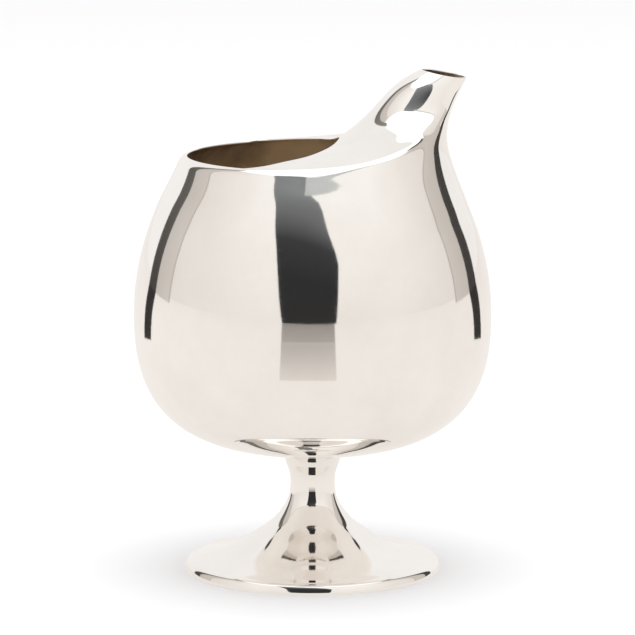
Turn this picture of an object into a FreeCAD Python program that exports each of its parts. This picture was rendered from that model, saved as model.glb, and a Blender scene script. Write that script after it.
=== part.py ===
import FreeCAD, Part
import math
import os

# Footed silver water pitcher: a round raised body whose shoulder runs out into a closed spout,
# on a hollow waisted foot.  Millimetres, +Z up, the spout points along +X, and the mirror plane
# is XZ.  The origin is the centre of the foot on the surface that the pitcher stands on.

# ---- driving dimensions -------------------------------------------------------------------

body_radius = 84.56        # widest radius of the body, at its belly
bowl_depth = 65.53         # belly down to the underside of the body
shoulder_rise = 74.84      # belly up to the level part of the mouth's edge
spout_stretch = 1.0        # 1 is the usual spout, more stretches it upwards
body_wall = 0.9            # sheet of the bowl, shoulder and spout

foot_radius = 60.7         # widest radius of the foot
foot_height = 51.0         # height of the foot with its stem
waist_radius = 10.6        # narrowest radius of the stem
foot_wall = 1.0            # sheet of the foot
foot_edge = 5.0            # height of the rounded edge of the foot
foot_tuck = 0.3            # how far the edge turns in again below its widest line

collar_height = 7.03       # ring between the stem and the body, at the axis
collar_flare = 3.4         # how much wider the ring is at the body than at the stem
ring_width = 4.0           # flat wire soldered inside the edge of the foot
ring_height = 1.8

# ---- the shape of the body ----------------------------------------------------------------

# Below the belly the profile is  r = R (1 - (d / depth)^2.563)^(1/3.071).
bowl_depth_power = 2.563
bowl_radius_power = 3.071

# Above it the profile is  r = R (1 - (d / dome)^1.942)^(1/1.296), and the mouth cuts
# this dome off at 0.5871 of its height.
dome_depth_power = 1.942
dome_radius_power = 1.296
mouth_share = 0.5871

underside_z = foot_height + collar_height
belly_z = underside_z + bowl_depth
dome_height = shoulder_rise / mouth_share

# Heights in the tables below are shares of shoulder_rise above the belly, and distances
# from the axis are shares of body_radius.

# The front of the body and spout, from where it leaves the round body: (height, distance).
FRONT = [
    (0.713, 0.8574), (0.814, 0.8213), (0.916, 0.7876), (1.029, 0.7569), (1.106, 0.7474),
    (1.182, 0.7509), (1.257, 0.7640), (1.333, 0.7876), (1.408, 0.8172), (1.486, 0.8538),
]

# Sections from the round shoulder up to the spout's mouth.  Each is an ellipse between the
# front line and the back line: (height at the front, distance of the back, height of the
# back, half depth, sag of the flanks).
SECTIONS = [
    (0.939, -0.7533, 0.944, 0.7440, 0.0000),
    (1.027, -0.7107, 0.997, 0.7060, 0.0080),
    (1.104, -0.5854, 1.019, 0.6575, 0.0334),
    (1.167, -0.4257, 1.036, 0.5605, 0.0468),
    (1.217, -0.1916, 1.049, 0.4494, 0.0468),
    (1.270, 0.0461, 1.068, 0.3465, 0.0214),
    (1.319, 0.1845, 1.139, 0.2519, 0.0000),
    (1.376, 0.3158, 1.270, 0.1951, 0.0000),
    (1.436, 0.4577, 1.438, 0.1549, 0.0000),
    (1.486, 0.6090, 1.542, 0.1147, 0.0000),
]

# Round sections of the plain body below them: heights.
ROUND = (0.0, 0.113, 0.233, 0.353, 0.460, 0.567, 0.661, 0.754, 0.848)

# The mouth is cut level on the left.  On the right its edge closes in to the crotch, where
# the spout's back begins: (distance, half depth), seen from above.  The first point is just
# outside the round wall.
MOUTH = [(-0.4435, 0.5560), (-0.3985, 0.5771), (-0.3666, 0.5901), (-0.3311, 0.5949),
         (-0.2921, 0.5889), (-0.2590, 0.5760), (-0.2235, 0.5570), (-0.1810, 0.5260),
         (-0.0700, 0.4450), (0.0410, 0.2980), (0.0970, 0.1830), (0.1500, 0.0)]

# The spout is soldered on along this flat section, counted from the belly's: just above the
# crotch at the back and just above the waist at the front.
SPOUT_SEAM = 15

# The foot's outer profile from its top to its edge: (share of the way from the waist's
# radius to the foot's, share of the foot's height).
FOOT = [
    (0.041, 1.000), (0.008, 0.902), (0.000, 0.824), (0.005, 0.745), (0.022, 0.667),
    (0.062, 0.588), (0.120, 0.510), (0.196, 0.431), (0.307, 0.353), (0.423, 0.275),
    (0.551, 0.208), (0.667, 0.165), (0.786, 0.133), (0.876, 0.112),
]

# The rounded edge from its brow down to the widest line: (share of foot_edge in from the
# widest radius, share of foot_edge above the base, outward direction).
EDGE = [(0.66, 1.00, 0.30, 0.95), (0.36, 0.92, 0.55, 0.84), (0.14, 0.70, 0.83, 0.56),
        (0.03, 0.40, 0.96, 0.28), (0.00, 0.14, 1.00, 0.00)]


def body_profile(z):
    """Radius of the plain round body at height z."""
    d = z - belly_z
    if d < 0:
        inner = 1 - (min(-d, bowl_depth) / bowl_depth) ** bowl_depth_power
        return body_radius * inner ** (1 / bowl_radius_power)
    inner = 1 - (min(d, dome_height) / dome_height) ** dome_depth_power
    return body_radius * inner ** (1 / dome_radius_power)


def shoulder_z(share):
    """Height of a share of shoulder_rise, with the spout stretched above the mouth."""
    if share > 1:
        share = 1 + (share - 1) * spout_stretch
    return belly_z + share * shoulder_rise


class Spline:
    """Smooth curve y(x) through given points: the natural cubic spline."""

    def __init__(self, xs, ys):
        self.xs = xs
        self.ys = ys
        n = len(xs)
        low = [0.0] * n
        rhs = [0.0] * n
        for i in range(1, n - 1):
            before = xs[i] - xs[i - 1]
            after = xs[i + 1] - xs[i]
            pull = 6 * ((ys[i + 1] - ys[i]) / after - (ys[i] - ys[i - 1]) / before)
            pivot = 2 * (before + after) - before * low[i - 1]
            low[i] = after / pivot
            rhs[i] = (pull - before * rhs[i - 1]) / pivot
        self.bend = [0.0] * n
        for i in range(n - 2, 0, -1):
            self.bend[i] = rhs[i] - low[i] * self.bend[i + 1]

    def __call__(self, x):
        i = 0
        while i < len(self.xs) - 2 and x > self.xs[i + 1]:
            i += 1
        step = self.xs[i + 1] - self.xs[i]
        b = (x - self.xs[i]) / step
        a = 1 - b
        curve = (a ** 3 - a) * self.bend[i] + (b ** 3 - b) * self.bend[i + 1]
        return a * self.ys[i] + b * self.ys[i + 1] + curve * step * step / 6


def section_table():
    """Rows of (front height, back distance, back height, half depth, sag), in mm."""
    rows = []
    for share in ROUND:
        z = shoulder_z(share)
        r = body_profile(z)
        rows.append((z, -r, z, r, 0.0))
    for front, back, back_height, depth, sag in SECTIONS:
        rows.append((shoulder_z(front), back * body_radius, shoulder_z(back_height),
                     depth * body_radius, sag * shoulder_rise))
    return rows


def front_spline():
    """Distance of the front line from the axis, over its height."""
    heights = [shoulder_z(share) for share in ROUND[:7]]
    distances = [body_profile(z) for z in heights]
    for share, distance in FRONT:
        heights.append(shoulder_z(share))
        distances.append(distance * body_radius)
    return Spline(heights, distances)


ROWS = section_table()
STATIONS = [float(i) for i in range(len(ROWS))]
TRACKS = [Spline(STATIONS, [row[k] for row in ROWS]) for k in range(5)]
FRONT_LINE = front_spline()


def skin_point(u, t):
    """Point of the outer skin: section u, angle t round it (0 is the front)."""
    front_z, back_x, back_z, depth, sag = [track(u) for track in TRACKS]
    front_x = FRONT_LINE(front_z)
    x = (front_x + back_x) / 2 + (front_x - back_x) / 2 * math.cos(t)
    z = (front_z + back_z) / 2 + (front_z - back_z) / 2 * math.cos(t)
    z -= sag * math.sin(t) ** 2
    return FreeCAD.Vector(x, depth * math.sin(t), z)


def skin_normal(u, t):
    """Outward unit normal of the outer skin, from two small steps."""
    du = 1e-3
    dt = 1e-3
    last = STATIONS[-1]
    upper = min(u + du, last)
    lower = max(u - du, 0.0)
    along = skin_point(upper, t) - skin_point(lower, t)
    around = skin_point(u, t + dt) - skin_point(u, t - dt)
    normal = around.cross(along)
    return normal.normalize()


SECTION_POINTS = 48        # points round each section
STEPS_PER_ROW = 2          # sections for each row of the table


def closed_wire(points):
    """A smooth closed wire through the points, with even knots so that all sections match."""
    curve = Part.BSplineCurve()
    knots = [float(k) for k in range(len(points) + 1)]
    curve.interpolate(Points=points, Parameters=knots, PeriodicFlag=True)
    return Part.Wire([curve.toShape()])


def section_wire(u, offset):
    """Wire of one section, moved inwards by offset."""
    points = []
    for k in range(SECTION_POINTS):
        t = 2 * math.pi * (k + 0.5) / SECTION_POINTS
        points.append(skin_point(u, t) - skin_normal(u, t) * offset)
    return closed_wire(points)


def end_wire(u, offset, up, shift):
    """Wire of a flat end section facing up, moved inwards in its plane and then along up."""
    points = []
    for k in range(SECTION_POINTS):
        t = 2 * math.pi * (k + 0.5) / SECTION_POINTS
        around = skin_point(u, t + 1e-3) - skin_point(u, t - 1e-3)
        inward = up.cross(around).normalize()
        points.append(skin_point(u, t) + inward * offset + up * shift)
    return closed_wire(points)


def biggest(shape):
    """The largest solid of a shape."""
    return max(shape.Solids, key=lambda solid: solid.Volume)


def raised_skin():
    """The sheet of the shoulder and spout before the mouth is cut, from the belly up."""
    last = STATIONS[-1]
    stops = [i / STEPS_PER_ROW for i in range(int(last) * STEPS_PER_ROW + 1)]
    outside = Part.makeLoft([section_wire(u, 0.0) for u in stops], True, False)
    mouth_front = skin_point(last, 0.0)
    mouth_back = skin_point(last, math.pi)
    out = (mouth_front - mouth_back).cross(FreeCAD.Vector(0, 1, 0)).normalize()
    wires = [end_wire(0.0, body_wall, FreeCAD.Vector(0, 0, 1), -1.0)]
    wires += [section_wire(u, body_wall) for u in stops[1:-1]]
    wires.append(end_wire(last, body_wall, out, 1.0))
    inside = Part.makeLoft(wires, True, False)
    return outside, inside


def mouth_cutter():
    """Everything above the level of the mouth and inside its edge."""
    level = shoulder_z(1.0)
    near = []
    for x, half_depth in MOUTH:
        near.append(FreeCAD.Vector(x * body_radius, -half_depth * body_radius, level))
    corner_x = near[0].x
    far = [FreeCAD.Vector(point.x, -point.y, point.z) for point in near[-2::-1]]
    curve = Part.BSplineCurve()
    curve.interpolate(Points=near + far)
    wide = 1.2 * body_radius
    corners = [far[-1], FreeCAD.Vector(corner_x, wide, level),
               FreeCAD.Vector(-wide, wide, level), FreeCAD.Vector(-wide, -wide, level),
               FreeCAD.Vector(corner_x, -wide, level), near[0]]
    sides = [Part.LineSegment(p, q).toShape() for p, q in zip(corners, corners[1:])]
    face = Part.Face(Part.Wire([curve.toShape()] + sides))
    return face.extrude(FreeCAD.Vector(0, 0, 2 * shoulder_rise))


def above_seam():
    """Everything on the spout's side of its solder seam."""
    low = skin_point(SPOUT_SEAM, math.pi)
    high = skin_point(SPOUT_SEAM, 0.0)
    along = (high - low).normalize()
    up = FreeCAD.Vector(-along.z, 0, along.x)
    reach = 3 * body_radius
    corners = [low - along * reach, low + along * reach,
               low + along * reach + up * reach, low - along * reach + up * reach]
    face = Part.Face(Part.makePolygon(corners + [corners[0]]))
    face.translate(FreeCAD.Vector(0, -reach, 0))
    return face.extrude(FreeCAD.Vector(0, 2 * reach, 0))


def revolve(edges):
    """Solid of a closed outline in the XZ plane turned about the axis."""
    face = Part.Face(Part.Wire(edges))
    return face.revolve(FreeCAD.Vector(0, 0, 0), FreeCAD.Vector(0, 0, 1), 360)


def bowl_curve(offset):
    """The bowl's profile from the axis out to the belly, moved inwards by offset."""
    points = []
    steps = 40
    for i in range(steps + 1):
        turn = math.pi / 2 * i / steps
        r = body_radius * math.sin(turn) ** (2 / bowl_radius_power)
        z = belly_z - bowl_depth * math.cos(turn) ** (2 / bowl_depth_power)
        points.append((r, z))
    moved = []
    for i, (r, z) in enumerate(points):
        r0, z0 = points[max(i - 1, 0)]
        r1, z1 = points[min(i + 1, steps)]
        length = math.hypot(r1 - r0, z1 - z0)
        inward = ((z0 - z1) / length, (r1 - r0) / length)
        if i == 0:
            inward = (0.0, 1.0)
        if i == steps:
            inward = (-1.0, 0.0)
        moved.append(FreeCAD.Vector(r + inward[0] * offset, 0, z + inward[1] * offset))
    curve = Part.BSplineCurve()
    curve.interpolate(Points=moved, InitialTangent=FreeCAD.Vector(1, 0, 0),
                      FinalTangent=FreeCAD.Vector(0, 0, 1))
    return curve.toShape()


def bowl():
    """Lower half of the body: sheet from the axis to the belly."""
    outer = bowl_curve(0.0)
    inner = bowl_curve(body_wall)
    bottom = Part.LineSegment(FreeCAD.Vector(0, 0, underside_z),
                              FreeCAD.Vector(0, 0, underside_z + body_wall)).toShape()
    top = Part.LineSegment(FreeCAD.Vector(body_radius - body_wall, 0, belly_z),
                           FreeCAD.Vector(body_radius, 0, belly_z)).toShape()
    return revolve([bottom, inner, top, outer])


def bowl_blank():
    """The bowl filled up to the belly, to shape what meets its underside."""
    outer = bowl_curve(0.0)
    lid = Part.LineSegment(FreeCAD.Vector(body_radius, 0, belly_z),
                           FreeCAD.Vector(0, 0, belly_z)).toShape()
    axis = Part.LineSegment(FreeCAD.Vector(0, 0, belly_z),
                            FreeCAD.Vector(0, 0, underside_z)).toShape()
    return revolve([outer, lid, axis])


def foot_points(offset):
    """The foot's profile from its top down, moved inwards by offset."""
    rim = foot_radius - waist_radius
    points = [(waist_radius + a * rim, b * foot_height) for a, b in FOOT]
    moved = []
    for i, (r, z) in enumerate(points):
        r0, z0 = points[max(i - 1, 0)]
        r1, z1 = points[min(i + 1, len(points) - 1)]
        length = math.hypot(r1 - r0, z1 - z0)
        inward = ((z1 - z0) / length, (r0 - r1) / length)
        if i == 0:
            inward = (-1.0, 0.0)
        moved.append(FreeCAD.Vector(r + inward[0] * offset, 0, z + inward[1] * offset))
    return moved


def foot_curves(offset):
    """Edges of the foot's profile: the trumpet, then the rounded edge down to the base."""
    points = foot_points(offset)
    turn = []
    for inward, height, across, upward in EDGE:
        turn.append(FreeCAD.Vector(foot_radius - inward * foot_edge - across * offset, 0,
                                   height * foot_edge - upward * offset))
    points.append(turn[0])
    trumpet = Part.BSplineCurve()
    trumpet.interpolate(Points=points)
    start = trumpet.tangent(trumpet.LastParameter)[0]
    base = FreeCAD.Vector(foot_radius - foot_tuck - offset, 0, 0)
    edge = Part.BSplineCurve()
    edge.interpolate(Points=turn + [base], InitialTangent=start,
                     FinalTangent=FreeCAD.Vector(-0.35, 0, -0.94))
    return [trumpet.toShape(), edge.toShape()], points[0], base


def foot():
    """Waisted stem and trumpet foot, hollow and open below."""
    outer, top, base = foot_curves(0.0)
    inner, inner_top, inner_base = foot_curves(foot_wall)
    cap = Part.LineSegment(top, inner_top).toShape()
    sole = Part.LineSegment(base, inner_base).toShape()
    return revolve(outer + [sole] + inner[::-1] + [cap])


def foot_hollow():
    """The space inside the foot, down to the surface it stands on."""
    inner, top, base = foot_curves(foot_wall)
    axis_top = FreeCAD.Vector(0, 0, top.z)
    origin = FreeCAD.Vector(0, 0, 0)
    edges = inner + [Part.LineSegment(base, origin).toShape(),
                     Part.LineSegment(origin, axis_top).toShape(),
                     Part.LineSegment(axis_top, top).toShape()]
    return revolve(edges)


def foot_ring():
    """Flat wire inside the edge of the foot."""
    outer = Part.makeCylinder(foot_radius, ring_height)
    bore_radius = foot_radius - foot_tuck - foot_wall - ring_width
    bore = Part.makeCylinder(bore_radius, ring_height)
    return outer.cut(bore).common(foot_hollow())


def stem_collar():
    """Ring between the top of the stem and the underside of the bowl."""
    stem_top = foot_points(0.0)[0]
    bore_top = foot_points(foot_wall)[0]
    low = FreeCAD.Vector(stem_top.x, 0, foot_height)
    high_z = underside_z + 1.0
    mid = FreeCAD.Vector(stem_top.x + 0.36 * collar_flare, 0, foot_height + 0.5 * collar_height)
    high = FreeCAD.Vector(stem_top.x + collar_flare, 0, high_z)
    flare = Part.BSplineCurve()
    flare.interpolate(Points=[low, mid, high])
    bore_low = FreeCAD.Vector(bore_top.x, 0, low.z)
    bore_high = FreeCAD.Vector(bore_top.x, 0, high_z)
    blank = revolve([flare.toShape(), Part.LineSegment(high, bore_high).toShape(),
                     Part.LineSegment(bore_high, bore_low).toShape(),
                     Part.LineSegment(bore_low, low).toShape()])
    return biggest(blank.cut(bowl_blank()))


def main():
    os.makedirs("parts", exist_ok=True)
    outside, inside = raised_skin()
    sheet = biggest(outside.cut(inside))
    sheet = biggest(sheet.cut(mouth_cutter()))
    upper = above_seam()
    nodes = {
        "bowl": bowl(),
        "shoulder": biggest(sheet.cut(upper)),
        "spout": biggest(sheet.common(upper)),
        "stem_collar": stem_collar(),
        "foot": foot(),
        "foot_ring": biggest(foot_ring()),
    }
    for name, shape in nodes.items():
        box = shape.optimalBoundingBox(False, False)
        print(name, "valid", shape.isValid(), "solids", len(shape.Solids),
              "volume %.0f" % shape.Volume,
              "x %.2f to %.2f" % (box.XMin, box.XMax), "z %.2f to %.2f" % (box.ZMin, box.ZMax))
        shape.exportStep("parts/" + name + ".step")


main()
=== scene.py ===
# %% [markdown]
# # A silver water pitcher on a trumpet foot
# The real pitcher is raised from sheet silver.  A round bowl and a domed shoulder meet at the
# belly, the shoulder runs out on one side into a short closed spout, and a spun foot with a
# waisted stem carries it.  Nothing on it moves.  The lesson builds six pieces of sheet, each a
# surface worked out with numpy, and then a plain studio in which polished silver can be read.

# %% Start from the measured frame
import math

import bpy
import numpy as np
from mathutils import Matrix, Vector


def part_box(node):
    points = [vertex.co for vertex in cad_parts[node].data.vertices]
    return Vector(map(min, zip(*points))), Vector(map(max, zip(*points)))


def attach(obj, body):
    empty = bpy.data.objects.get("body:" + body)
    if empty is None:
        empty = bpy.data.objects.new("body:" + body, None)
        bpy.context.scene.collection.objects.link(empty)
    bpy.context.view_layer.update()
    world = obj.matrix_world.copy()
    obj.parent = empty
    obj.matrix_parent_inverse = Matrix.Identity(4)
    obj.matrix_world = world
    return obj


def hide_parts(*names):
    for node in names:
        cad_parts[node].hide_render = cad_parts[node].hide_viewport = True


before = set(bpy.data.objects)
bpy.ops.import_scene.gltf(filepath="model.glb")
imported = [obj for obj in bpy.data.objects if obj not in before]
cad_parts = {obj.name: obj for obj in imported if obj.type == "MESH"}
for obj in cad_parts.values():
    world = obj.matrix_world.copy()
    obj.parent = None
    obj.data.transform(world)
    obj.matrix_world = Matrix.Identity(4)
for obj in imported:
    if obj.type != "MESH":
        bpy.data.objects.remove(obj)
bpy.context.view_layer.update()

# %% [markdown]
# ## Sizes
# The overall lengths come from the frame's own boxes, so the pieces fall where the solid parts
# are.  The sheet's gauges and the shares that shape each curve are given here.  The belly is
# where bowl and shoulder are soldered, and it is the widest place.

# %% Read the sizes from the frame
BODY_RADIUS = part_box("bowl")[1].x
BELLY_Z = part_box("bowl")[1].z
UNDERSIDE_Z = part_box("bowl")[0].z
BOWL_DEPTH = BELLY_Z - UNDERSIDE_Z
FOOT_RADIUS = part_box("foot")[1].y
FOOT_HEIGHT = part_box("foot")[1].z
TOP_SHARE = 1.542            # height of the spout's tip, as a share of the shoulder's rise
SHOULDER_RISE = (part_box("spout")[1].z - BELLY_Z) / TOP_SHARE
WALL = 0.0009
FOOT_WALL = 0.0010
EDGE_REACH = 0.0003          # how far a rounded edge stands out from the sheet it closes
print("belly radius %.2f mm at %.2f mm" % (BODY_RADIUS * 1000, BELLY_Z * 1000))

# %% [markdown]
# ## A smooth curve through given points
# A maker bends a flexible batten through marked points and draws along it.  The natural cubic
# spline is that batten as a formula, and here it is solved for whole arrays at once: one small
# linear system gives the bending at every mark.


# %% The batten
def batten(marks, values):
    """Natural cubic spline: returns a function of x that passes through every (mark, value).

    Between two marks the curve is  a y0 + b y1 + ((a^3 - a) m0 + (b^3 - b) m1) h^2 / 6,
    with b the share of the way, a = 1 - b, h the step, and m the bending at the marks.
    """
    x = np.asarray(marks, float)
    y = np.asarray(values, float)
    h = np.diff(x)
    matrix = np.eye(len(x))
    pull = np.zeros(len(x))
    inside = np.arange(1, len(x) - 1)
    matrix[inside, inside - 1] = h[:-1]
    matrix[inside, inside] = 2 * (h[:-1] + h[1:])
    matrix[inside, inside + 1] = h[1:]
    slope = np.diff(y) / h
    pull[inside] = 6 * np.diff(slope)
    bend = np.linalg.solve(matrix, pull)

    def curve(at):
        at = np.asarray(at, float)
        i = np.clip(np.searchsorted(x, at) - 1, 0, len(x) - 2)
        b = (at - x[i]) / h[i]
        a = 1 - b
        sag = (a**3 - a) * bend[i] + (b**3 - b) * bend[i + 1]
        return a * y[i] + b * y[i + 1] + sag * h[i] ** 2 / 6

    return curve


# %% [markdown]
# ## The raised skin
# Above the belly the body is a dome, and towards the top its level rings tilt, shrink and
# slide over to one side until they are the sections of the spout.  Each section is an ellipse
# hung between a front line and a back line, so two numbers place a point on the skin: u counts
# the sections, and t is the angle round one, zero at the front.

# %% Tables of the skin, as shares of the shoulder's rise and the body's radius
ROUND = (0.0, 0.113, 0.233, 0.353, 0.460, 0.567, 0.661, 0.754, 0.848)
FRONT = [
    (0.713, 0.8574), (0.814, 0.8213), (0.916, 0.7876), (1.029, 0.7569), (1.106, 0.7474),
    (1.182, 0.7509), (1.257, 0.7640), (1.333, 0.7876), (1.408, 0.8172), (1.486, 0.8538),
]
SECTIONS = [
    (0.939, -0.7533, 0.944, 0.7440, 0.0000),
    (1.027, -0.7107, 0.997, 0.7060, 0.0080),
    (1.104, -0.5854, 1.019, 0.6575, 0.0334),
    (1.167, -0.4257, 1.036, 0.5605, 0.0468),
    (1.217, -0.1916, 1.049, 0.4494, 0.0468),
    (1.270, 0.0461, 1.068, 0.3465, 0.0214),
    (1.319, 0.1845, 1.139, 0.2519, 0.0000),
    (1.376, 0.3158, 1.270, 0.1951, 0.0000),
    (1.436, 0.4577, 1.438, 0.1549, 0.0000),
    (1.486, 0.6090, 1.542, 0.1147, 0.0000),
]
MOUTH = [
    (-0.4435, 0.5560), (-0.3985, 0.5771), (-0.3666, 0.5901), (-0.3311, 0.5949),
    (-0.2921, 0.5889), (-0.2590, 0.5760), (-0.2235, 0.5570), (-0.1810, 0.5260),
    (-0.0700, 0.4450), (0.0410, 0.2980), (0.0970, 0.1830), (0.1500, 0.0),
]
SEAM_ROW = 15
LAST_ROW = 18
MOUTH_SHARE = 0.5871
DOME_POWERS = (1.942, 1.296)
BOWL_POWERS = (2.563, 3.071)


def dome_radius(share):
    """Radius of the plain dome: r = R (1 - (share * 0.5871)^1.942)^(1/1.296)."""
    sag_power, round_power = DOME_POWERS
    return BODY_RADIUS * (1 - (np.asarray(share) * MOUTH_SHARE) ** sag_power) ** (1 / round_power)


round_rows = [(s, -dome_radius(s) / BODY_RADIUS, s, dome_radius(s) / BODY_RADIUS, 0) for s in ROUND]
rows = np.array(round_rows + SECTIONS, float)
TRACKS = [batten(np.arange(len(rows)), column) for column in rows.T]
front_marks = np.array([(s, dome_radius(s) / BODY_RADIUS) for s in ROUND[:7]] + FRONT)
FRONT_LINE = batten(*front_marks.T)
print("sections in the skin:", len(rows))


# %% The skin as a function of u and t
def skin(u, t):
    """Point of the outer skin.

    Middle of the section plus half its length times cos t, level plus half its tilt times
    cos t less the sag times sin^2 t, and half its depth times sin t.
    """
    front_z, back_x, back_z, depth, sag = [track(u) for track in TRACKS]
    front_x = FRONT_LINE(front_z)
    x = BODY_RADIUS * ((front_x + back_x) / 2 + (front_x - back_x) / 2 * np.cos(t))
    z = (front_z + back_z) / 2 + (front_z - back_z) / 2 * np.cos(t) - sag * np.sin(t) ** 2
    y = BODY_RADIUS * depth * np.sin(t)
    return np.stack([x, y, BELLY_Z + SHOULDER_RISE * z], axis=-1)


def unit(vectors):
    """Vectors divided by their own lengths."""
    return vectors / np.linalg.norm(vectors, axis=-1, keepdims=True)


def skin_facing(u, t):
    """Outward direction of the skin: its step round a section crossed with its step up."""
    step = 1e-3
    up = skin(np.minimum(u + step, LAST_ROW), t) - skin(np.maximum(u - step, 0), t)
    round_it = skin(u, t + step) - skin(u, t - step)
    return unit(np.cross(round_it, up))


# %% [markdown]
# ## Sheet metal as two skins and an edge
# A modifier could thicken one skin, but then the edge is square and the two sides can't have
# different finishes.  Here the outer skin, the inner skin and a rounded edge are laid as grids
# of shared points.  Going once round the sheet (up the outside, over the edge, down the
# inside) keeps every face pointing outwards.


# %% Helpers that turn grids into one closed mesh
class Sheet:
    """Collects points, their outward directions and the faces of one piece."""

    def __init__(self):
        self.points = []
        self.facings = []
        self.faces = []
        self.sides = []
        self.count = 0

    def lay(self, points, facings):
        """Adds a block of points and returns their numbers in the same layout."""
        shape = points.shape[:-1]
        numbers = np.arange(self.count, self.count + int(np.prod(shape))).reshape(shape)
        self.points.append(points.reshape(-1, 3))
        self.facings.append(facings.reshape(-1, 3))
        self.count += numbers.size
        return numbers

    def fill(self, numbers, side=0):
        """Faces between neighbouring rows and columns; a row that is one point gives a fan."""
        a, b = numbers[:-1, :-1].ravel(), numbers[:-1, 1:].ravel()
        d, c = numbers[1:, :-1].ravel(), numbers[1:, 1:].ravel()
        low, high = a == b, c == d
        plain = ~(low | high)
        blocks = [np.stack([a, b, c, d], 1)[plain], np.stack([a, c, d], 1)[low],
                  np.stack([a, b, c], 1)[high]]
        for block in blocks:
            self.faces += block.tolist()
            self.sides += [side] * len(block)

    def build(self, name):
        """The finished object, smooth, with its own outward directions."""
        mesh = bpy.data.meshes.new(name)
        mesh.from_pydata(np.concatenate(self.points).tolist(), [], self.faces)
        mesh.update()
        mesh.polygons.foreach_set("material_index", self.sides)
        mesh.polygons.foreach_set("use_smooth", [True] * len(self.faces))
        mesh.normals_split_custom_set_from_vertices(np.concatenate(self.facings).tolist())
        piece = bpy.data.objects.new(name, mesh)
        bpy.context.scene.collection.objects.link(piece)
        print(name, len(mesh.vertices), "points,", len(self.faces), "faces")
        return piece


def closed(numbers):
    """The same numbers with the first column again at the end, for a ring."""
    return np.concatenate([numbers, numbers[:, :1]], axis=1)


def edge_points(outer, facing, into, wall, reach, steps=6):
    """Half an ellipse from the outer skin to the inner: its width is the wall, its height reach.

    Point = middle of the wall + half the wall * cos a * facing + reach * sin a * into.
    """
    a = np.linspace(0, np.pi, steps + 1)[1:-1, None, None]
    middle = outer - facing * wall / 2
    points = middle + wall / 2 * np.cos(a) * facing + reach * np.sin(a) * into
    return points, unit(np.cos(a) * facing + np.sin(a) * into)


# %% [markdown]
# ## The edge of the mouth
# The mouth is cut level at the back and closes in to the crotch at the foot of the spout.
# Seen from above it is a curve in the plan, so each point of that curve is carried down onto
# the skin by Newton's steps: guess u and t, measure the miss, correct, and repeat.


# %% Carry the plan of the mouth onto the skin
def drop_on_skin(x, y):
    """u and t of the skin's points whose plan position is (x, y), near the mouth."""
    grid_u, grid_t = np.meshgrid(np.linspace(8.5, SEAM_ROW, 90), np.linspace(0, np.pi, 120),
                                 indexing="ij")
    plan = skin(grid_u, grid_t)[..., :2].reshape(-1, 2)
    miss = (plan[:, 0] - x[:, None]) ** 2 + (plan[:, 1] - y[:, None]) ** 2
    nearest = miss.argmin(1)
    u, t = grid_u.ravel()[nearest], grid_t.ravel()[nearest]
    step = 1e-4
    for _ in range(8):
        here = skin(u, t)[:, :2]
        along_u = (skin(u + step, t)[:, :2] - here) / step
        along_t = (skin(u, t + step)[:, :2] - here) / step
        slopes = np.stack([along_u, along_t], axis=-1)
        fix = np.linalg.solve(slopes, (np.stack([x, y], -1) - here)[..., None])[..., 0]
        u, t = u + np.clip(fix[:, 0], -0.3, 0.3), t + np.clip(fix[:, 1], -0.2, 0.2)
    return u, t


half = np.array(MOUTH) * BODY_RADIUS
whole = np.concatenate([half, half[-2::-1] * (1, -1)])
chord = np.concatenate([[0], np.cumsum(np.linalg.norm(np.diff(whole, axis=0), axis=1))])
half_way = np.linspace(0, chord[len(half) - 1], 600)
plan_x = batten(chord, whole[:, 0])(half_way)
plan_y = np.maximum(batten(chord, whole[:, 1])(half_way), 0)
edge_u, edge_t = drop_on_skin(plan_x, plan_y)
LEVEL = BELLY_Z + SHOULDER_RISE
heights = skin(edge_u, edge_t)[:, 2]
first = int(np.argmax(heights > LEVEL))
edge_u, edge_t = edge_u[first:], edge_t[first:]
print("the mouth's edge is level up to t = %.0f degrees" % math.degrees(edge_t[0]))

# %% The level part of the edge, by halving the range of u until its height is the level
level_t = np.linspace(edge_t[0], np.pi, 120)[1:]
low_u, high_u = np.full_like(level_t, 8.0), np.full_like(level_t, 12.0)
for _ in range(40):
    middle_u = (low_u + high_u) / 2
    below = skin(middle_u, level_t)[:, 2] < LEVEL
    low_u, high_u = np.where(below, middle_u, low_u), np.where(below, high_u, middle_u)

turn = int(edge_t.argmin())
edge_t[-1] = np.pi
lower_t = np.concatenate([edge_t[: turn + 1][::-1], level_t])
lower_u = np.concatenate([edge_u[: turn + 1][::-1], low_u])
upper_t, upper_u = edge_t[turn:], edge_u[turn:]
FIRST_T = edge_t[turn]
print("it turns back at t = %.0f degrees, u = %.2f" % (math.degrees(FIRST_T), edge_u[turn]))

# %% [markdown]
# ## Shoulder
# Columns of the grid run up the skin.  In front of the mouth they run from the belly to the
# spout's solder seam without a break.  Behind it each column is cut by the mouth into a lower
# and an upper part, and the columns crowd together where the edge turns back.

# %% Columns and rows of the shoulder
across = np.linspace(0, 1, 64)
mouth_t = FIRST_T + (np.pi - FIRST_T) * across**2
front_t = np.linspace(-FIRST_T, FIRST_T, 121)[1:-1]
back_t = np.concatenate([mouth_t, 2 * np.pi - mouth_t[-2::-1]])
column_t = np.concatenate([back_t, front_t + 2 * np.pi])
folded = np.where(back_t > np.pi, 2 * np.pi - back_t, back_t)
turn_u = edge_u[turn]
stop_u = np.concatenate([np.interp(folded, lower_t, lower_u), np.full(len(front_t), turn_u)])
start_u = np.concatenate([np.interp(folded, upper_t, upper_u), np.full(len(front_t), turn_u)])
stop_u[[0, len(back_t) - 1]] = turn_u
start_u[[0, len(back_t) - 1]] = turn_u
climb = np.linspace(0, 1, 91)[:, None]
rise = np.linspace(0, 1, 61)[:, None]
lower_rows = climb * stop_u
upper_rows = start_u + rise * (SEAM_ROW - start_u)


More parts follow.
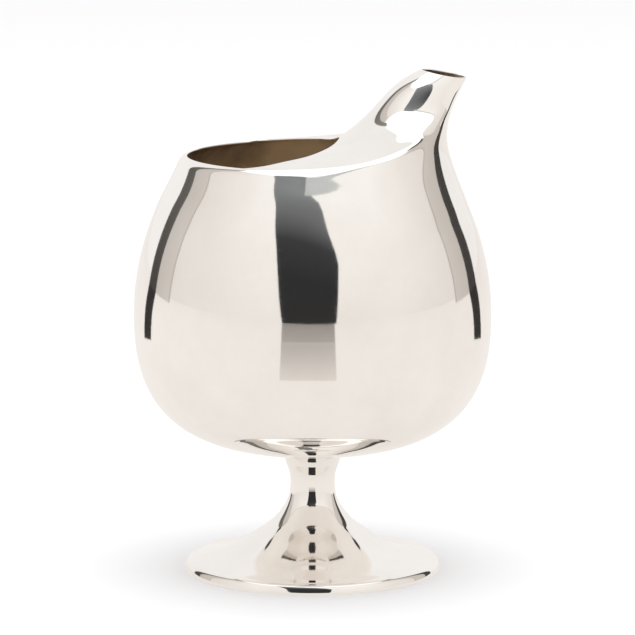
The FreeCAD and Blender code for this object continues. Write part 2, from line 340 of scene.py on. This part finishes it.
# %% Lay the two skins, the mouth's edge and the two soldered rims
def shoulder():
    """Outer and inner skins over the same columns; the inner is the outer less wall * facing."""
    sheet = Sheet()
    skins = []
    for depth in (0.0, WALL):
        sign = 1 if depth == 0 else -1
        parts = []
        for u in (lower_rows, upper_rows):
            t = np.broadcast_to(column_t, u.shape)
            facing = skin_facing(u, t)
            parts.append((skin(u, t) - facing * depth, facing * sign))
        lower = sheet.lay(*parts[0])
        upper = np.empty((len(rise), len(column_t)), int)
        upper[1:] = sheet.lay(parts[1][0][1:], parts[1][1][1:])
        mouth_columns = slice(1, len(back_t) - 1)
        upper[0] = lower[-1]
        upper[0, mouth_columns] = sheet.lay(parts[1][0][0, mouth_columns],
                                            parts[1][1][0, mouth_columns])
        skins.append((lower, upper))
    (outer_low, outer_up), (inner_low, inner_up) = skins
    sheet.fill(closed(outer_low))
    sheet.fill(closed(outer_up))
    sheet.fill(closed(np.stack([outer_up[-1], inner_up[-1]])))
    sheet.fill(closed(inner_up[::-1]), 1)
    sheet.fill(closed(inner_low[::-1]), 1)
    sheet.fill(closed(np.stack([inner_low[0], outer_low[0]])))

    last = len(back_t) - 1
    outer_loop = np.concatenate([outer_low[-1, : last + 1], outer_up[0, 1:last][::-1]])
    inner_loop = np.concatenate([inner_low[-1, : last + 1], inner_up[0, 1:last][::-1]])
    points = np.concatenate(sheet.points)[outer_loop]
    facing = np.concatenate(sheet.facings)[outer_loop]
    along = unit(np.roll(points, -1, 0) - np.roll(points, 1, 0))
    strip = sheet.lay(*edge_points(points, facing, unit(np.cross(facing, along)), WALL, EDGE_REACH))
    edge = np.concatenate([outer_loop[None], strip, inner_loop[None]])
    sheet.fill(closed(edge))
    return sheet.build("shoulder_sheet")


shoulder_piece = shoulder()

# %% [markdown]
# ## Spout
# The same skin goes on from the seam to the spout's lip, where the edge is rounded over.


# %% The spout
def spout():
    """Rows from the seam to just short of the last section, which leaves room for the edge."""
    sheet = Sheet()
    t = np.linspace(0, 2 * np.pi, 145)[:-1]
    u, t = np.meshgrid(np.linspace(SEAM_ROW, LAST_ROW - 0.03, 61), t, indexing="ij")
    facing = skin_facing(u, t)
    points = skin(u, t)
    outer = sheet.lay(points, facing)
    inner = sheet.lay(points - facing * WALL, -facing)
    lip_out = unit(points[-1] - points[-2])
    lip = sheet.lay(*edge_points(points[-1], facing[-1], lip_out, WALL, EDGE_REACH))
    sheet.fill(closed(outer))
    sheet.fill(closed(np.concatenate([outer[-1:], lip, inner[-1:]])))
    sheet.fill(closed(inner[::-1]), 1)
    sheet.fill(closed(np.stack([inner[0], outer[0]])))
    return sheet.build("spout_sheet")


spout_piece = spout()

# %% [markdown]
# ## Turned pieces
# The bowl, collar and foot are round, so each is a profile turned about the axis.  The
# profile goes up the outside and comes down the inside.


# %% Turn a pair of profiles
def turned(name, outer, inner, columns=256, pole=False):
    """Each profile point (r, z) becomes the ring (r cos t, r sin t, z).

    The facing of a profile is its direction turned a quarter to the right.
    """
    sheet = Sheet()
    t = np.linspace(0, 2 * np.pi, columns + 1)[:-1]
    grids = []
    for profile in (outer, inner[::-1]):
        ahead = np.gradient(profile, axis=0)
        facing = unit(np.stack([ahead[:, 1], -ahead[:, 0]], 1))
        if pole:
            facing[np.abs(profile[:, 0]) < 1e-9, 0] = 0
            facing = unit(facing)
        ring = [np.outer(v[:, 0], f(t)) for v in (profile, facing) for f in (np.cos, np.sin)]
        flat = np.ones_like(t)
        points = np.stack([ring[0], ring[1], np.outer(profile[:, 1], flat)], -1)
        facings = np.stack([ring[2], ring[3], np.outer(facing[:, 1], flat)], -1)
        grids.append(sheet.lay(points, facings))
    up, down = grids
    if pole:
        up[0] = up[0, 0]
        down[-1] = down[-1, 0]
    sheet.fill(closed(up))
    sheet.fill(closed(np.stack([up[-1], down[0]])))
    sheet.fill(closed(down), 1)
    if not pole:
        sheet.fill(closed(np.stack([down[-1], up[0]])))
    return sheet.build(name)


def inset(profile, wall):
    """The profile moved to its left by the wall, which is inwards when it runs upwards."""
    ahead = unit(np.gradient(profile, axis=0))
    return profile + np.stack([-ahead[:, 1], ahead[:, 0]], 1) * wall


# %% [markdown]
# ## Bowl
# The bowl is fuller than half a ball: its profile is a superellipse, flat below and upright
# at the belly.


# %% The bowl
def bowl_profile(turn_angle):
    """r = R sin^(2/3.071) a and z = belly - depth cos^(2/2.563) a, from the axis to the belly."""
    depth_power, round_power = BOWL_POWERS
    r = BODY_RADIUS * np.sin(turn_angle) ** (2 / round_power)
    z = BELLY_Z - BOWL_DEPTH * np.cos(turn_angle) ** (2 / depth_power)
    return np.stack([r, z], 1)


bowl_steps = np.pi / 2 * np.linspace(0, 1, 121) ** 1.3
bowl_steps[-1] = np.pi / 2
bowl_outer = bowl_profile(bowl_steps)
bowl_outer[-1] = BODY_RADIUS, BELLY_Z
bowl_inner = inset(bowl_outer, WALL)
bowl_inner[0] = 0, UNDERSIDE_Z + WALL
bowl_inner[-1] = BODY_RADIUS - WALL, BELLY_Z
bowl_piece = turned("bowl_sheet", bowl_outer, bowl_inner, pole=True)

# %% [markdown]
# ## Foot, stem and collar
# The foot is one spinning: a trumpet that narrows to a waist and flares again under the bowl,
# with a rounded edge below.  A short collar carries the flare up to the bowl's underside, and
# a flat wire inside the edge is what the pitcher stands on.

# %% The foot
WAIST_RADIUS = 0.0106
FOOT_EDGE = 0.0050
FOOT_TUCK = 0.0003
FOOT_ROUNDING = [(0.66, 1.00), (0.36, 0.92), (0.14, 0.70), (0.03, 0.40), (0.00, 0.14)]
FOOT = [
    (0.041, 1.000), (0.008, 0.902), (0.000, 0.824), (0.005, 0.745), (0.022, 0.667),
    (0.062, 0.588), (0.120, 0.510), (0.196, 0.431), (0.307, 0.353), (0.423, 0.275),
    (0.551, 0.208), (0.667, 0.165), (0.786, 0.133), (0.876, 0.112),
]


def through(points, count):
    """A smooth line through the points, by battens over the distance along them."""
    points = np.asarray(points, float)
    along = np.concatenate([[0], np.cumsum(np.linalg.norm(np.diff(points, axis=0), axis=1))])
    at = np.linspace(0, along[-1], count)
    return np.stack([batten(along, column)(at) for column in points.T], 1)


foot_marks = [(WAIST_RADIUS + a * (FOOT_RADIUS - WAIST_RADIUS), b * FOOT_HEIGHT) for a, b in FOOT]
foot_marks += [(FOOT_RADIUS - inward * FOOT_EDGE, up * FOOT_EDGE) for inward, up in FOOT_ROUNDING]
foot_marks.append((FOOT_RADIUS - FOOT_TUCK, 0))
foot_outer = through(foot_marks, 181)[::-1]
foot_inner = inset(foot_outer, FOOT_WALL)
foot_inner[0] = foot_outer[0] - (FOOT_WALL, 0)
foot_inner[-1] = foot_outer[-1] - (FOOT_WALL, 0)
foot_inner[:, 1] = np.clip(foot_inner[:, 1], 0, FOOT_HEIGHT)
foot_piece = turned("foot_sheet", foot_outer, foot_inner, columns=240)

# %% The collar
collar_low = foot_outer[-1]
collar_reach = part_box("stem_collar")[1].x
depth_power, round_power = BOWL_POWERS
bowl_share = (1 - (collar_reach / BODY_RADIUS) ** round_power) ** (1 / depth_power)
underside = UNDERSIDE_Z + BOWL_DEPTH * (1 - bowl_share)
COLLAR_MIDDLE_SHARE = 0.36
COLLAR_MIDDLE_Z = 0.0545
collar_middle = collar_low[0] + COLLAR_MIDDLE_SHARE * (collar_reach - collar_low[0])
collar_marks = [collar_low, (collar_middle, COLLAR_MIDDLE_Z), (collar_reach, underside)]
collar_outer = through(collar_marks, 25)
bore = foot_inner[-1, 0]
collar_inner = np.stack([np.full(25, bore), np.linspace(collar_low[1], UNDERSIDE_Z, 25)], 1)
collar_piece = turned("stem_collar_sheet", collar_outer, collar_inner, columns=160)

# %% The ring inside the foot's edge
ring_low, ring_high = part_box("foot_ring")
ring_out = foot_inner[0, 0]
RING_WIDTH = 0.0040
ring_bore = ring_out - RING_WIDTH
ring_outer = np.array([(ring_out, ring_low.z), (ring_out, ring_high.z)])
ring_inner = np.array([(ring_bore, ring_low.z), (ring_bore, ring_high.z)])
ring_piece = turned("foot_ring_wire", ring_outer, ring_inner, columns=200)


# %% [markdown]
# ## Finishes
# Silver is the whitest metal.  Polished by hand it is almost a mirror, with faint waves left by
# the planishing hammer and fine hairlines left by cleaning.  Inside, where no cloth reaches, it
# has tarnished brown.


# %% Colour and node helpers
def srgb(code):
    """Linear colour of an sRGB hex code: each part above 0.04045 is ((c + 0.055) / 1.055)^2.4."""
    parts = np.array([int(code[i : i + 2], 16) for i in (0, 2, 4)]) / 255
    linear = np.where(parts > 0.04045, ((parts + 0.055) / 1.055) ** 2.4, parts / 12.92)
    return (*linear.tolist(), 1.0)


def add(tree, kind, links=(), values=(), **settings):
    """Adds one node: settings are its own, values fill sockets, links join other nodes' outputs."""
    node = tree.nodes.new(kind)
    for key, value in settings.items():
        setattr(node, key, value)
    for socket, value in values:
        matching = [i for i in node.inputs if i.enabled and socket in (i.name, i.identifier)]
        (matching[0] if matching else node.inputs[socket]).default_value = value
    for socket, source in links:
        matching = [i for i in node.inputs if i.enabled and socket in (i.name, i.identifier)]
        tree.links.new(source, matching[0] if matching else node.inputs[socket])
    return node


def mixed(node):
    """The colour output of a Mix node, which has one output for each kind of data."""
    return next(o for o in node.outputs if o.enabled)


def finish_named(name):
    """A new material with its tree emptied, and its output node."""
    material = bpy.data.materials.new(name)
    material.use_nodes = True
    material.node_tree.nodes.clear()
    return material, material.node_tree, material.node_tree.nodes.new("ShaderNodeOutputMaterial")


# %% Polished silver
def polished_silver():
    """Sterling silver, planished and hand polished: a near mirror with faint waves and hairlines."""
    material, tree, out = finish_named("sterling silver, hand polished")
    place = add(tree, "ShaderNodeTexCoord").outputs["Object"]
    waves = add(tree, "ShaderNodeTexNoise", [("Vector", place)],
                [("Scale", 38.0), ("Detail", 1.0), ("Roughness", 0.4)])
    wave_bump = add(tree, "ShaderNodeBump", [("Height", waves.outputs["Fac"])],
                    [("Strength", 1.0), ("Distance", 0.00006)])
    stretch = add(tree, "ShaderNodeMapping", [("Vector", place)], [("Scale", (260, 260, 2600))])
    hairs = add(tree, "ShaderNodeTexNoise", [("Vector", stretch.outputs["Vector"])],
                [("Scale", 1.0), ("Detail", 3.0), ("Roughness", 0.6)])
    hair_bump = add(tree, "ShaderNodeBump",
                    [("Height", hairs.outputs["Fac"]), ("Normal", wave_bump.outputs["Normal"])],
                    [("Strength", 1.0), ("Distance", 0.0000015)])
    rough = add(tree, "ShaderNodeMapRange", [("Value", hairs.outputs["Fac"])],
                [("From Min", 0.3), ("From Max", 0.8), ("To Min", 0.03), ("To Max", 0.09)])
    film = add(tree, "ShaderNodeTexNoise", [("Vector", place)],
               [("Scale", 22.0), ("Detail", 4.0), ("Roughness", 0.6)])
    tint = add(tree, "ShaderNodeValToRGB", [("Fac", film.outputs["Fac"])])
    tint.color_ramp.elements[0].position = 0.35
    tint.color_ramp.elements[0].color = srgb("F4F1ED")
    tint.color_ramp.elements[1].position = 0.65
    tint.color_ramp.elements[1].color = srgb("FAF8F5")
    silver = add(tree, "ShaderNodeBsdfPrincipled",
                 [("Base Color", tint.outputs["Color"]), ("Roughness", rough.outputs["Result"]),
                  ("Normal", hair_bump.outputs["Normal"])],
                 [("Metallic", 1.0)])
    tree.links.new(silver.outputs["BSDF"], out.inputs["Surface"])
    return material


# %% Tarnished silver
# Place across and half width of the lighter strip inside, which is a painted highlight.
HIGHLIGHT_X = -0.008
HIGHLIGHT_REACH = 0.024


def tarnished_silver():
    """Silver left unpolished: a brown sulphide film over a dull metal.

    The brown is darkest near the mouth, and a lighter strip near the axis is a painted highlight.
    """
    material, tree, out = finish_named("sterling silver, tarnished brown")
    place = add(tree, "ShaderNodeTexCoord").outputs["Object"]
    split = add(tree, "ShaderNodeSeparateXYZ", [("Vector", place)])
    cloud = add(tree, "ShaderNodeTexNoise", [("Vector", place)],
                [("Scale", 24.0), ("Detail", 5.0), ("Roughness", 0.6)])
    height = add(tree, "ShaderNodeMapRange", [("Value", split.outputs["Z"])],
                 [("From Min", LEVEL), ("From Max", BELLY_Z), ("To Min", 0.0), ("To Max", 1.0)])
    blend = add(tree, "ShaderNodeMath", [(0, cloud.outputs["Fac"]), (1, height.outputs["Result"])],
                operation="ADD")
    # The strip around this x is made lighter: a painted highlight, a bright reflection laid into the
    # brown.
    beside = add(tree, "ShaderNodeMath", [(0, split.outputs["X"])], [(1, -HIGHLIGHT_X)], operation="ADD")
    away = add(tree, "ShaderNodeMath", [(0, beside.outputs["Value"])], operation="ABSOLUTE")
    painted_highlight = add(tree, "ShaderNodeMapRange", [("Value", away.outputs["Value"])],
                 [("From Min", 0.0), ("From Max", HIGHLIGHT_REACH), ("To Min", 0.6), ("To Max", 0.0)],
                 interpolation_type="SMOOTHSTEP")
    # The tone of the brown, with the painted highlight added.
    film = add(tree, "ShaderNodeMath", [(0, blend.outputs["Value"]), (1, painted_highlight.outputs["Result"])],
               operation="ADD")
    tint = add(tree, "ShaderNodeValToRGB", [("Fac", film.outputs["Value"])])
    tint.color_ramp.elements[0].position = 0.40
    tint.color_ramp.elements[0].color = srgb("7C6A5A")
    tint.color_ramp.elements[1].position = 1.0
    tint.color_ramp.elements[1].color = srgb("F4E4CC")
    rough = add(tree, "ShaderNodeMapRange", [("Value", cloud.outputs["Fac"])],
                [("From Min", 0.3), ("From Max", 0.7), ("To Min", 0.36), ("To Max", 0.52)])
    dull = add(tree, "ShaderNodeBsdfPrincipled",
               [("Base Color", tint.outputs["Color"]), ("Roughness", rough.outputs["Result"])],
               [("Metallic", 0.72)])
    tree.links.new(dull.outputs["BSDF"], out.inputs["Surface"])
    return material


SILVER = polished_silver()
TARNISH = tarnished_silver()

# %% Give every piece its finish, and let it stand for its solid
PIECES = {
    "bowl": bowl_piece, "shoulder": shoulder_piece, "spout": spout_piece,
    "stem_collar": collar_piece, "foot": foot_piece, "foot_ring": ring_piece,
}
for node_name, piece in PIECES.items():
    inner_finish = TARNISH if node_name in ("bowl", "shoulder", "spout") else SILVER
    piece.data.materials.append(SILVER)
    piece.data.materials.append(inner_finish)
    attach(piece, "root")
    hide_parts(node_name)
print("pieces:", ", ".join(p.name for p in PIECES.values()))

# %% [markdown]
# ## Studio
# Polished silver has no look of its own: it shows the room.  The room is a white tent with
# warm side walls, a dark gap where the walls meet the back, and a dark opening in front that
# the pitcher is seen through.  The gaps are panels that only mirrors see, far enough away that
# they don't slide over the metal as the view moves.

# %% Floor
FAR = 5.0
MIRRORED_FLOOR = "BFBBB8"
# Colour of the even painted glow of the table that mirrors see.
MIRRORED_GLOW = "FFFAF6"
WALL_CODES = ("F3EEE9", "FFFCF9", "E9E3DE", "F7F5F3")
GAP_CODES = {"left": ["484643", "6A6763", "8A8783"], "right": ["444240", "484643", "5A5754"]}


def stage_mesh(name, points, faces, material):
    """A mesh that belongs to the room and not to the pitcher."""
    mesh = bpy.data.meshes.new(name)
    mesh.from_pydata(np.asarray(points, float).tolist(), [], faces)
    mesh.materials.append(material)
    thing = bpy.data.objects.new(name, mesh)
    bpy.context.scene.collection.objects.link(thing)
    return thing


def grid_faces(rows_count, columns):
    """Quads over a grid of points counted row by row."""
    a = (np.arange(rows_count - 1)[:, None] * columns + np.arange(columns - 1)).ravel()
    return np.stack([a, a + 1, a + columns + 1, a + columns], 1).tolist()


def paper_named(name, code):
    """Matt paper of one colour."""
    material, tree, out = finish_named(name)
    matt = add(tree, "ShaderNodeBsdfDiffuse", (), [("Color", srgb(code))])
    tree.links.new(matt.outputs["BSDF"], out.inputs["Surface"])
    return material


FLOOR_HALF = 30
corners = FLOOR_HALF * np.array([(-1, -1, 0), (1, -1, 0), (1, 1, 0), (-1, 1, 0)])
floor = stage_mesh("floor", corners, [[0, 1, 2, 3]], paper_named("white paper sweep", "F4F6F9"))
floor.visible_glossy = False

# %% [markdown]
# The paper in front of the lens is brighter than the table that the metal mirrors, because
# the lamps over the set are flagged off the metal.  So the floor is two sheets: a white one
# that the camera sees, and a slightly warmer one that only mirrors see, which mostly glows
# with an even painted light.


# %% Panels that only mirrors see
def only_in_mirrors(panel):
    """Hides a panel from the camera and from soft light, so it shows only as a reflection."""
    panel.visible_camera = False
    panel.visible_diffuse = False
    panel.visible_shadow = False
    panel.visible_transmission = False
    return panel


warm_paper, tree, out = finish_named("warm table, mostly a painted glow")
matt = add(tree, "ShaderNodeBsdfDiffuse", (), [("Color", srgb(MIRRORED_FLOOR))])
# The emission is painted light: the table glows evenly in place of the light and shade that fall on
# it.
even = add(tree, "ShaderNodeEmission", (), [("Color", srgb(MIRRORED_GLOW))])
part_lit = add(tree, "ShaderNodeMixShader", (), [("Fac", 0.78)])
tree.links.new(matt.outputs["BSDF"], part_lit.inputs[1])
tree.links.new(even.outputs["Emission"], part_lit.inputs[2])
tree.links.new(part_lit.outputs["Shader"], out.inputs["Surface"])
table_lift = (0, 0, 0.0002)
warm_table = stage_mesh("floor_in_mirrors", corners + table_lift, [[0, 1, 2, 3]], warm_paper)
only_in_mirrors(warm_table)

tent_cloth, tree, out = finish_named("lit studio panel")
shade_of = add(tree, "ShaderNodeVertexColor", layer_name="shade")
cloth_glow = add(tree, "ShaderNodeEmission", [("Color", shade_of.outputs["Color"])])
tree.links.new(cloth_glow.outputs["Emission"], out.inputs["Surface"])


def shades(codes, count):
    """Linear colours evenly spaced along a row of hex codes."""
    ends = np.array([srgb(code) for code in codes])
    at = np.linspace(0, len(codes) - 1, count)
    return np.stack([np.interp(at, np.arange(len(codes)), c) for c in ends.T], 1)


def shaded_panel(name, points, faces, colours):
    """A panel whose glow is given point by point."""
    panel = stage_mesh(name, points, faces, tent_cloth)
    layer = panel.data.color_attributes.new("shade", "FLOAT_COLOR", "POINT")
    layer.data.foreach_set("color", np.asarray(colours, np.float32).ravel())
    return only_in_mirrors(panel)


def tent_panel(name, azimuths, elevations, codes, along="elevation"):
    """Part of a sphere: azimuth 0 is the front and grows to the right, elevation is upwards."""
    steps = 17
    az, el = np.meshgrid(np.radians(np.linspace(*azimuths, steps)),
                         np.radians(np.linspace(*elevations, steps)), indexing="ij")
    points = np.stack([np.sin(az) * np.cos(el), -np.cos(az) * np.cos(el), np.sin(el)], -1)
    row = shades(codes, steps)
    colours = np.tile(row, (steps, 1)) if along == "elevation" else np.repeat(row, steps, 0)
    return shaded_panel(name, FAR * points.reshape(-1, 3), grid_faces(steps, steps), colours)


def floor_panel(name, azimuths, radii, codes, lift=0.0006):
    """Part of a flat ring just above the floor, with radii spaced evenly in their logarithms."""
    steps = 17
    az, r = np.meshgrid(np.radians(np.linspace(*azimuths, steps)),
                        np.geomspace(*radii, steps), indexing="ij")
    points = np.stack([r * np.sin(az), -r * np.cos(az), np.full_like(r, lift)], -1)
    colours = np.tile(shades(codes, steps), (steps, 1))
    return shaded_panel(name, points.reshape(-1, 3), grid_faces(steps, steps), colours)


SEAM_AZIMUTH, WALL_AZIMUTH, GAP_AZIMUTH, BACK_AZIMUTH = 104, 105, 121, 132
WALL_TOP = 57
for side in (-1, 1):
    tag = "right" if side > 0 else "left"
    seam, wall_start, gap, back = [side * azimuth for azimuth in
                                   (SEAM_AZIMUTH, WALL_AZIMUTH, GAP_AZIMUTH, BACK_AZIMUTH)]
    tent_panel("gap_" + tag, (gap, back), (0, 60), GAP_CODES[tag])
    floor_panel("gap_floor_" + tag, (gap, back), (0.62, 6), ["3A3836", "343231"])
    tent_panel("wall_" + tag, (wall_start, gap), (0, WALL_TOP), ["D2CBC5", "C8C2BC"], "azimuth")
    tent_panel("wall_seam_" + tag, (seam, wall_start), (0, WALL_TOP), ["B0ABA6", "B0ABA6"])
tent_panel("top_seam", (-10, 80), (54, WALL_TOP), ["C2C5C6", "C8CACA", "BDBFC0", "E8E8E8"], "azimuth")

# %% The dark opening in front
OPENING_LEFT = [(-0.344, 0.0), (-0.458, 0.52), (-0.72, 1.31), (-0.945, 1.81), (-1.12, 2.31)]
OPENING_RIGHT = [(0.262, 0.0), (0.325, 0.51), (0.077, 1.16), (-0.03, 1.32), (-0.17, 1.58)]
OPENING_CODES = ["303030", "303031", "3C3D3E", "6E7071", "7C7F80", "8A8E8F", "7A7D7E"]


def front_opening():
    """Straight lines from the left edge to the right edge, at even steps up both."""
    steps = 25
    share = np.linspace(0, 1, steps)
    sides = []
    for edge in (OPENING_LEFT, OPENING_RIGHT):
        edge = np.array(edge)
        along = np.concatenate([[0], np.cumsum(np.linalg.norm(np.diff(edge, axis=0), axis=1))])
        at = share * along[-1]
        sides.append(np.stack([np.interp(at, along, column) for column in edge.T], 1))
    across = np.linspace(0, 1, 9)[None, :, None]
    flat = sides[0][:, None] * (1 - across) + sides[1][:, None] * across
    points = np.stack([flat[..., 0], np.full(flat.shape[:2], -1.0), flat[..., 1]], -1) * FAR
    colours = np.repeat(shades(OPENING_CODES, steps), 9, 0)
    return shaded_panel("front_opening", points.reshape(-1, 3), grid_faces(steps, 9), colours)


front_opening()
# A grey sheet on the table in front, seen only in mirrors, is painted shade: the unlit front of the
# table, darker further off.
SHADED_TABLE_CODES = ["E4DED8", "C8C2BD", "A8A29E", "9E9893", "958F8A"]
floor_panel("front_table_in_shade", (-19, 13.5), (0.29, 5), SHADED_TABLE_CODES)

# %% The tent itself, as the world's light
world = bpy.data.worlds.new("studio tent")
bpy.context.scene.world = world
world.use_nodes = True
tree = world.node_tree
tree.nodes.clear()
toward = add(tree, "ShaderNodeTexCoord").outputs["Generated"]
split = add(tree, "ShaderNodeSeparateXYZ", [("Vector", toward)])
flat = add(tree, "ShaderNodeVectorMath", [(0, toward)], [(1, (1, 1, 0))], operation="MULTIPLY")
flat_length = add(tree, "ShaderNodeVectorMath", [(0, flat.outputs["Vector"])], operation="LENGTH")
backness = add(tree, "ShaderNodeMath",
               [(0, split.outputs["Y"]), (1, flat_length.outputs["Value"])], operation="DIVIDE")
is_back = add(tree, "ShaderNodeMath", [(0, backness.outputs["Value"])],
              [(1, math.cos(math.radians(180 - BACK_AZIMUTH)))], operation="GREATER_THAN")
is_top = add(tree, "ShaderNodeMath", [(0, split.outputs["Z"])],
             [(1, math.sin(math.radians(WALL_TOP)))], operation="GREATER_THAN")
height = add(tree, "ShaderNodeMapRange", [("Value", split.outputs["Z"])],
             [("From Min", 0.0), ("From Max", 0.8), ("To Min", 0.0), ("To Max", 1.0)])
low_wall, high_wall, side_wall, back_wall = [srgb(code) for code in WALL_CODES]
front = add(tree, "ShaderNodeMix", [("Factor", height.outputs["Result"])],
            [("A", low_wall), ("B", high_wall)], data_type="RGBA")
sideness = add(tree, "ShaderNodeMapRange", [("Value", backness.outputs["Value"])],
               [("From Min", -0.6), ("From Max", 0.25), ("To Min", 0.0), ("To Max", 1.0)])
wall = add(tree, "ShaderNodeMix",
           [("Factor", sideness.outputs["Result"]), ("A", mixed(front))],
           [("B", side_wall)], data_type="RGBA")
behind = add(tree, "ShaderNodeMix", [("Factor", is_back.outputs["Value"]),
             ("A", mixed(wall))], [("B", back_wall)], data_type="RGBA")
walls = add(tree, "ShaderNodeMix", [("Factor", is_top.outputs["Value"]),
            ("A", mixed(behind))], [("B", (1.25, 1.25, 1.25, 1))], data_type="RGBA")
light = add(tree, "ShaderNodeBackground", [("Color", mixed(walls))], [("Strength", 1.0)])
add(tree, "ShaderNodeOutputWorld", [("Surface", light.outputs["Background"])])

# %% A soft overhead light that whitens the paper
lamp = bpy.data.lights.new("overhead softbox", "AREA")
lamp.shape = "RECTANGLE"
lamp.size, lamp.size_y = 2.4, 2.4
lamp.energy = 20
overhead = bpy.data.objects.new("overhead softbox", lamp)
overhead.location = (0, 0, 2.4)
overhead.visible_glossy = False
overhead.visible_camera = False
bpy.context.scene.collection.objects.link(overhead)

# %% [markdown]
# ## Camera
# The view is from a little above the table, level with the pitcher's shoulder, from two metres
# away with a long lens, so the rings look like thin ellipses.

# %% The camera
EYE = np.array([0.0, -2.0, 0.45728])
AIM = np.array([0.0, 0.0, 0.12075])
lens = bpy.data.cameras.new("camera")
lens.sensor_width = 36
lens.lens = 243.0
lens.shift_x = 0.0077
lens.clip_end = 100
camera = bpy.data.objects.new("camera", lens)
camera.location = EYE
camera.rotation_euler = (math.atan2(EYE[1] - AIM[1], EYE[2] - AIM[2]) * -1, 0, 0)
bpy.context.scene.collection.objects.link(camera)
bpy.context.scene.camera = camera
bpy.context.scene.view_settings.view_transform = "Standard"
